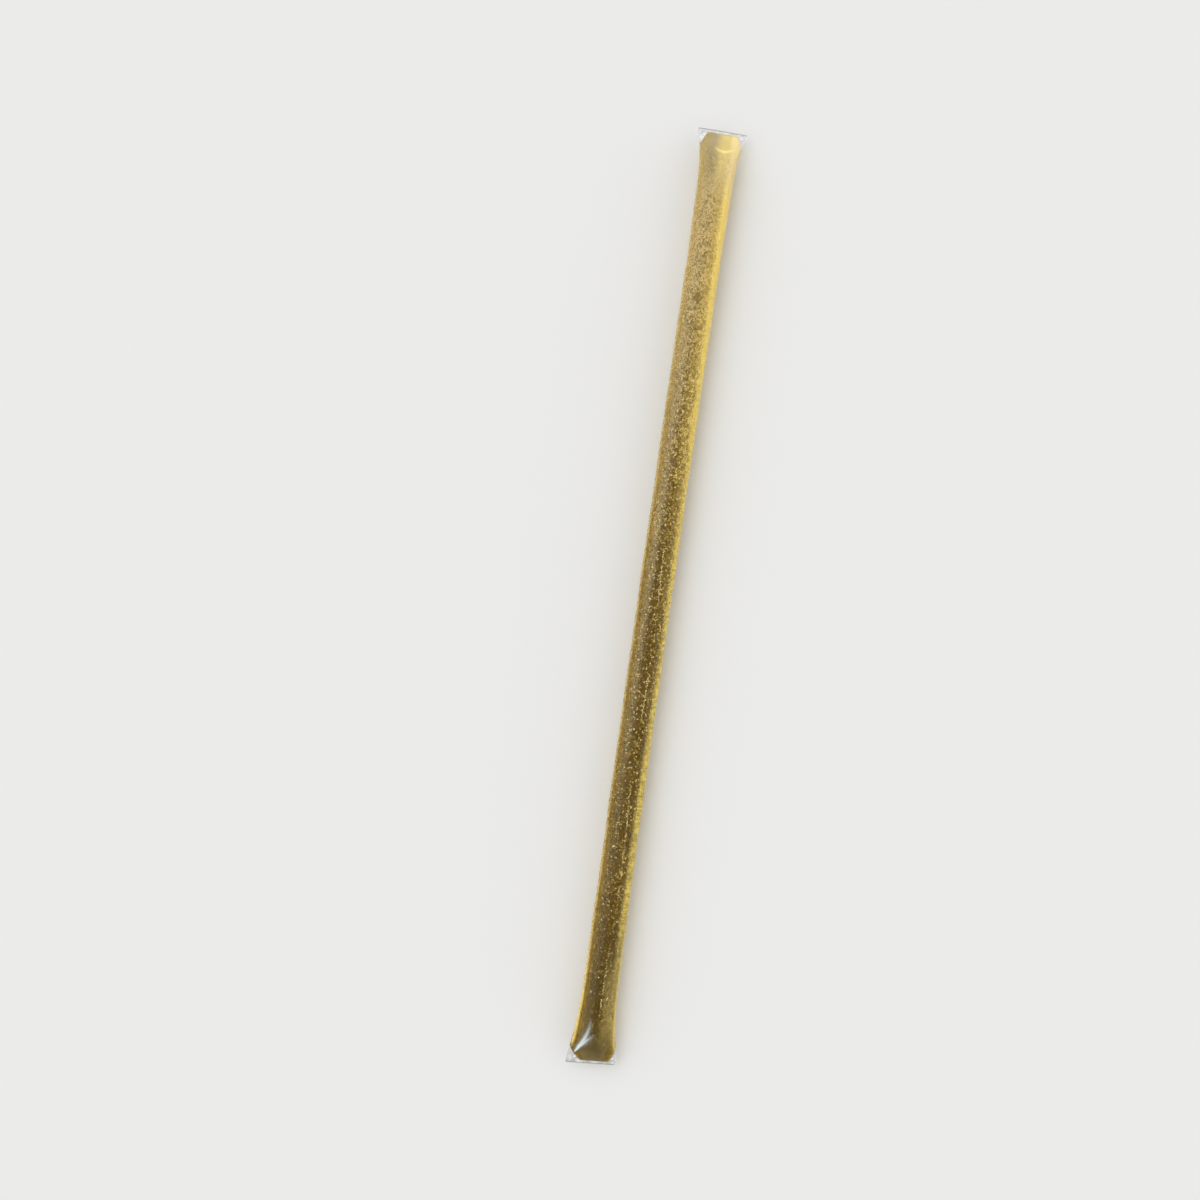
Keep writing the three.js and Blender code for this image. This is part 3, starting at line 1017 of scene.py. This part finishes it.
# %% [markdown]
# ## Bubbles
#
# A bubble in honey is a bright round spot, because light turns back at its wall. At this size a clear ball
# would only cost time, so it is a shiny pale one, and slow noise makes some stretches brighter.

# %% Bubble material
BUBBLE_DIM, BUBBLE_BRIGHT = (0.62, 0.5, 0.22), (0.9, 0.76, 0.4)
GLEAM_PER_MM = 0.4

bubble_material, bubble_surface, at = new_material("air bubbles", Roughness=0.25)
gleam = noise(at, GLEAM_PER_MM)
gleam.tint(BUBBLE_DIM, BUBBLE_BRIGHT).feed(bubble_surface.socket.node, "Base Color")
bubbles.data.materials.append(bubble_material)
print(bubble_material.name, "has", len(bubble_material.node_tree.nodes), "nodes")

# %% [markdown]
# ## Hang the pieces on the CAD frame
#
# The film and the honey stand for the two CAD solids, which stay behind for the physics. The grains and the
# bubbles are new. The stick has no joints, so all of it rides on the one body.

# %% Tie the pieces to the frame
for piece, node, slot in ((film, "straw", "film"), (honey, "honey", "honey")):
    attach(piece, "root")
    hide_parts(node)
for piece in (grains, bubbles):
    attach(piece, "root")
print("pieces:", film.name, honey.name, grains.name, bubbles.name)

# %% [markdown]
# ## Floor
#
# A plain pale floor catches the soft shadow. It lies a hair below the stick, so that the two never share a
# face.

# %% Floor
FLOOR_SIZE, FLOOR_GAP = 6, 0.00003  # metres
FLOOR_GREY = (0.82, 0.82, 0.81)

bpy.ops.mesh.primitive_plane_add(size=FLOOR_SIZE, location=(0, 0, -FLOOR_GAP))
floor = bpy.context.object
floor.name = "floor"
floor_material, _, _ = new_material(
    "pale floor", Base_Color=FLOOR_GREY, Roughness=0.9, Specular_IOR_Level=0.0)
floor.data.materials.append(floor_material)
print("floor", FLOOR_SIZE, "m wide")

# %% [markdown]
# ## Light
#
# A soft room. Lamps could light it, but a lamp has an edge, and clear film would mirror it. So the sky
# itself glows: brightest towards the window at the left, less at the right, and evenly elsewhere.

# %% Sky
WINDOW = np.array([0.25, 0.62, 0.74])
WINDOW = WINDOW / np.linalg.norm(WINDOW)
FILL = np.array([0.0, -0.97, 0.24])
OVERHEAD_GLOW, SIDE_GLOW, WINDOW_GLOW, FILL_GLOW, SPREAD = 0.2, 0.6, 2.4, 1.4, 5.0

world = bpy.data.worlds.new("soft room")
bpy.context.scene.world = world
world.use_nodes = True
sky = world.node_tree
direction = Value(sky, sky.nodes.new("ShaderNodeTexCoord").outputs["Generated"])


def lobe(way, glow):
    """A soft bright patch of sky: the cosine of the angle to its middle, raised to a power."""
    cosine = direction.node("ShaderNodeVectorMath", {"operation": "DOT_PRODUCT"}, output=1,
                            i0=direction, i1=tuple(way))
    return glow * cosine.most(0.0) ** SPREAD


upward = direction.node("ShaderNodeSeparateXYZ", output=2, Vector=direction)
sky_glow = SIDE_GLOW + (OVERHEAD_GLOW - SIDE_GLOW) * upward.ramp(0.3, 1.0)
sky_glow = sky_glow + lobe(WINDOW, WINDOW_GLOW) + lobe(FILL, FILL_GLOW)
background = sky.nodes["Background"]
set_socket(background.inputs["Color"], WHITE)
sky_glow.feed(background, "Strength")
print("the window is", round(math.degrees(math.acos(WINDOW[2]))), "degrees from straight up")

# %% [markdown]
# ## Camera
#
# The stick is seen from straight above and lies slightly turned, with its head at the top. The camera stands
# as far off as the lens needs for the stick to fill the picture as it should. Light may pass many clear
# surfaces on its way. The denoiser must not smooth the fine sand, so its prefilter is off.

# %% Camera straight above
TILT = math.radians(8.1)
PICTURE = 1200
PIXELS_PER_MM = 5.302
LENS, SENSOR = 85.0, 36.0
CAMERA_X, CAMERA_Y = -1.87, 10.5
NEAREST = 0.01  # metres; nothing closer to the camera is drawn
BOUNCES = 32

camera_data = bpy.data.cameras.new("camera")
camera_data.lens, camera_data.sensor_width = LENS, SENSOR
camera_data.clip_start = NEAREST
camera = bpy.data.objects.new("camera", camera_data)
distance = PICTURE / PIXELS_PER_MM * LENS / SENSOR
camera.location = (CAMERA_X * MM, CAMERA_Y * MM, (distance + CENTRE) * MM)
camera.rotation_euler = (0, 0, TILT - math.pi / 2)
scene = bpy.context.scene
scene.collection.objects.link(camera)
scene.camera = camera

scene.view_settings.view_transform = "Standard"
scene.cycles.max_bounces = BOUNCES
scene.cycles.transmission_bounces = BOUNCES
scene.cycles.use_denoising = True
scene.cycles.denoising_prefilter = "NONE"
print("camera", round(distance), "mm above the stick")
